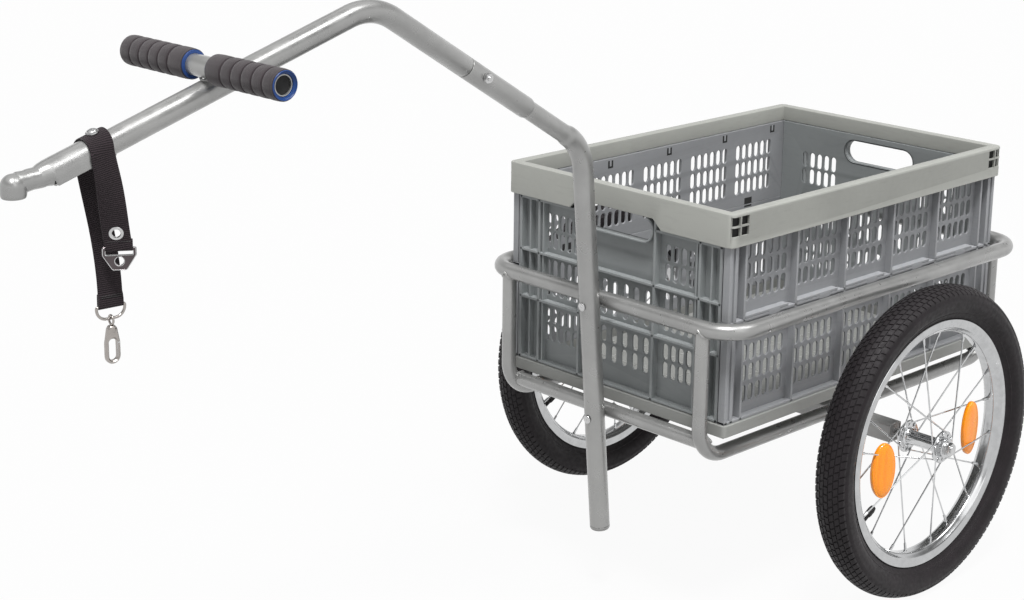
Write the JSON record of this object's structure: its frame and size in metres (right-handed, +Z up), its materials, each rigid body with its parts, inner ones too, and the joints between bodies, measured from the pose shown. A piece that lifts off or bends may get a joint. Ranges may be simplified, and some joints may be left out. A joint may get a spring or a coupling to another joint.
{
  "type": "bike cargo trailer",
  "caption": "Bicycle cargo trailer with spoked wheels, tube frame, bent drawbar with ball coupling and hand grips, safety strap and a lift-out folding crate.",
  "frame": {"origin": "middle of the whole trailer, on the ground under the tyres", "axes": "+X forward along the drawbar to the coupling, +Y to the trailer's left, +Z up"},
  "size_m": [1.4076, 0.6286, 0.784],
  "materials": {
    "silver_paint": "satin",
    "dark_paint": "satin",
    "zinc": "bright",
    "chrome": "polished",
    "tyre_rubber": "matt",
    "soft_rubber": "matt",
    "foam": "ribbed, matt",
    "blue_plastic": "gloss",
    "webbing": "woven",
    "orange_lens": "gloss",
    "rim_plastic": "fine texture",
    "wall_plastic": "fine texture",
    "end_plastic": "fine texture"
  },
  "bodies": {
    "trailer_frame": {"spindle_left": "zinc", "axle_nut_left": "zinc", "side_frame_left": "silver_paint", "grip_sleeve_left": "blue_plastic", "grip_foam_left": "foam", "spindle_right": "zinc", "axle_nut_right": "zinc", "side_frame_right": "silver_paint", "grip_sleeve_right": "blue_plastic", "grip_foam_right": "foam", "axle_beam": "dark_paint", "upper_loop": "silver_paint", "front_cross_tube": "silver_paint", "rear_cross_tube": "silver_paint", "drawbar_rear_tube": "silver_paint", "leg_end_cap": "dark_paint", "drawbar_sleeve": "silver_paint", "drawbar_front_tube": "silver_paint", "sleeve_bolt": "zinc", "sleeve_nut": "zinc", "leg_upper_bolt": "zinc", "leg_upper_nut": "zinc", "leg_lower_bolt": "zinc", "leg_lower_nut": "zinc", "handle_crossbar": "silver_paint", "coupling_shell": "chrome", "safety_strap": "webbing", "strap_eyelet": "zinc", "strap_bolt": "zinc", "strap_nut": "zinc"},
    "wheel_left": {"tyre_left": "tyre_rubber", "rim_left": "chrome", "hub_and_spokes_left": "chrome", "valve_left": "soft_rubber", "reflector_left_front": "orange_lens", "reflector_left_rear": "orange_lens"},
    "wheel_right": {"tyre_right": "tyre_rubber", "rim_right": "chrome", "hub_and_spokes_right": "chrome", "valve_right": "soft_rubber", "reflector_right_front": "orange_lens", "reflector_right_rear": "orange_lens"},
    "crate": {"crate_side_lower_left": "wall_plastic", "crate_side_upper_left": "wall_plastic", "crate_side_lower_right": "wall_plastic", "crate_side_upper_right": "wall_plastic", "crate_base": "rim_plastic", "crate_rim": "rim_plastic"},
    "crate_front_wall": {"crate_end_front": "end_plastic"},
    "crate_rear_wall": {"crate_end_rear": "end_plastic"},
    "strap_plate": {"strap_plate": "zinc"},
    "strap_ring": {"strap_ring": "zinc"},
    "swivel": {"swivel_eye": "zinc"},
    "snap_hook": {"snap_hook": "zinc"},
    "hook_gate": {"snap_hook_gate": "zinc"}
  },
  "joints": [
    {"name": "wheel_left_spin", "type": "hinge", "parent": "trailer_frame", "child": "wheel_left", "pos_m": [-0.39842, 0.2725, 0.2], "axis": [0, 1, 0], "continuous": true},
    {"name": "wheel_right_spin", "type": "hinge", "parent": "trailer_frame", "child": "wheel_right", "pos_m": [-0.39842, -0.2725, 0.2], "axis": [0, 1, 0], "continuous": true},
    {"name": "crate_lift", "type": "slide", "parent": "trailer_frame", "child": "crate", "axis": [0, 0, 1], "range_m": [0, 0.3]},
    {"name": "crate_front_wall_fold", "type": "hinge", "parent": "crate", "child": "crate_front_wall", "pos_m": [-0.13422, 0, 0.5004], "axis": [0, 1, 0], "range_deg": [0, 88]},
    {"name": "crate_rear_wall_fold", "type": "hinge", "parent": "crate", "child": "crate_rear_wall", "pos_m": [-0.64922, 0, 0.5004], "axis": [0, -1, 0], "range_deg": [0, 88]},
    {"name": "strap_plate_swing", "type": "hinge", "parent": "trailer_frame", "child": "strap_plate", "pos_m": [0.58708, 0.01, 0.577], "axis": [0.8387, -0.5446, 0], "range_deg": [-8, 60]},
    {"name": "strap_ring_swing", "type": "hinge", "parent": "trailer_frame", "child": "strap_ring", "pos_m": [0.59008, -0.0045, 0.5175], "axis": [0.9962, -0.0872, 0], "range_deg": [-40, 35]},
    {"name": "swivel_eye_swing", "type": "hinge", "parent": "strap_ring", "child": "swivel", "pos_m": [0.59008, -0.0045, 0.5045], "axis": [0.9962, -0.0872, 0], "range_deg": [-25, 25]},
    {"name": "snap_hook_swivel", "type": "hinge", "parent": "swivel", "child": "snap_hook", "pos_m": [0.59008, -0.0045, 0.4968], "axis": [0, 0, 1], "continuous": true},
    {"name": "hook_gate_press", "type": "hinge", "parent": "snap_hook", "child": "hook_gate", "pos_m": [0.58408, -0.00398, 0.4795], "axis": [-0.0872, -0.9962, 0], "range_deg": [0, 22], "stiffness_Nm_per_rad": 0.02, "springref_deg": -11.46}
  ]
}
